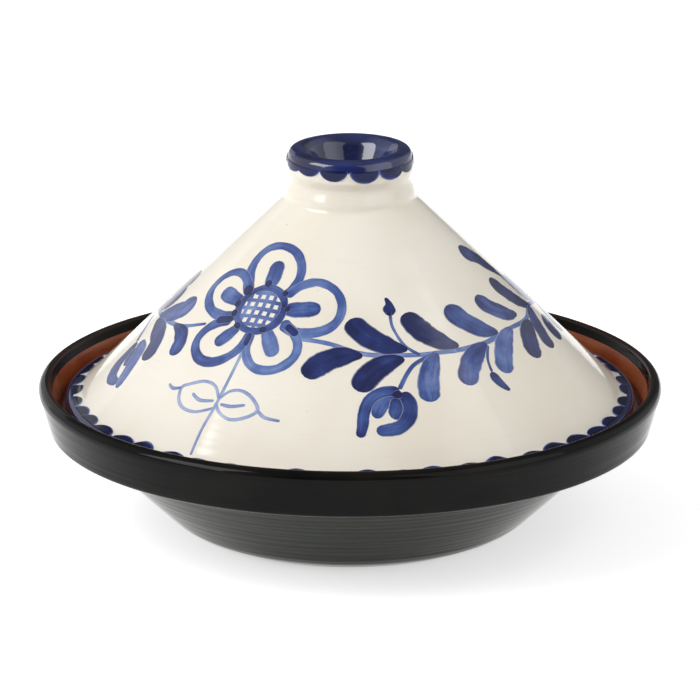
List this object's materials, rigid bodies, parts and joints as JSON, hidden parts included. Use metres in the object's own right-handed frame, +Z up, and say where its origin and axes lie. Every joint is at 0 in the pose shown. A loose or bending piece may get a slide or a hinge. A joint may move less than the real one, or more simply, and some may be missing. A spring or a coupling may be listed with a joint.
{
  "type": "tagine pot",
  "caption": "Glazed earthenware tagine for slow cooking and serving: a wide, shallow dish with a gallery inside its rim, and a loose conical lid with a hollow knob.",
  "frame": {"origin": "centre of the dish's foot, on the table", "axes": "+Z up along the axis on which dish and lid were thrown; -Y towards the viewer"},
  "size_m": [0.3, 0.3, 0.187],
  "materials": {
    "terracotta": "bare fired clay, matt",
    "black_glaze": "glossy black glaze with faint throwing rings",
    "clear_glaze": "glossy clear glaze over red-brown clay",
    "ivory_glaze": "glossy ivory glaze with blue brushwork",
    "blue_glaze": "glossy cobalt blue glaze"
  },
  "bodies": {
    "dish": {"dish_clay": "terracotta", "dish_black_glaze": "black_glaze", "dish_clear_glaze": "clear_glaze"},
    "lid": {"lid_clay": "terracotta", "lid_ivory_glaze": "ivory_glaze", "lid_edge_blue_glaze": "blue_glaze", "lid_knob_blue_glaze": "blue_glaze", "lid_clear_glaze": "clear_glaze"}
  },
  "joints": [
    {"name": "lid_lift", "type": "slide", "parent": "dish", "child": "lid", "axis": [0, 0, 1], "range_m": [0, 0.15]}
  ]
}
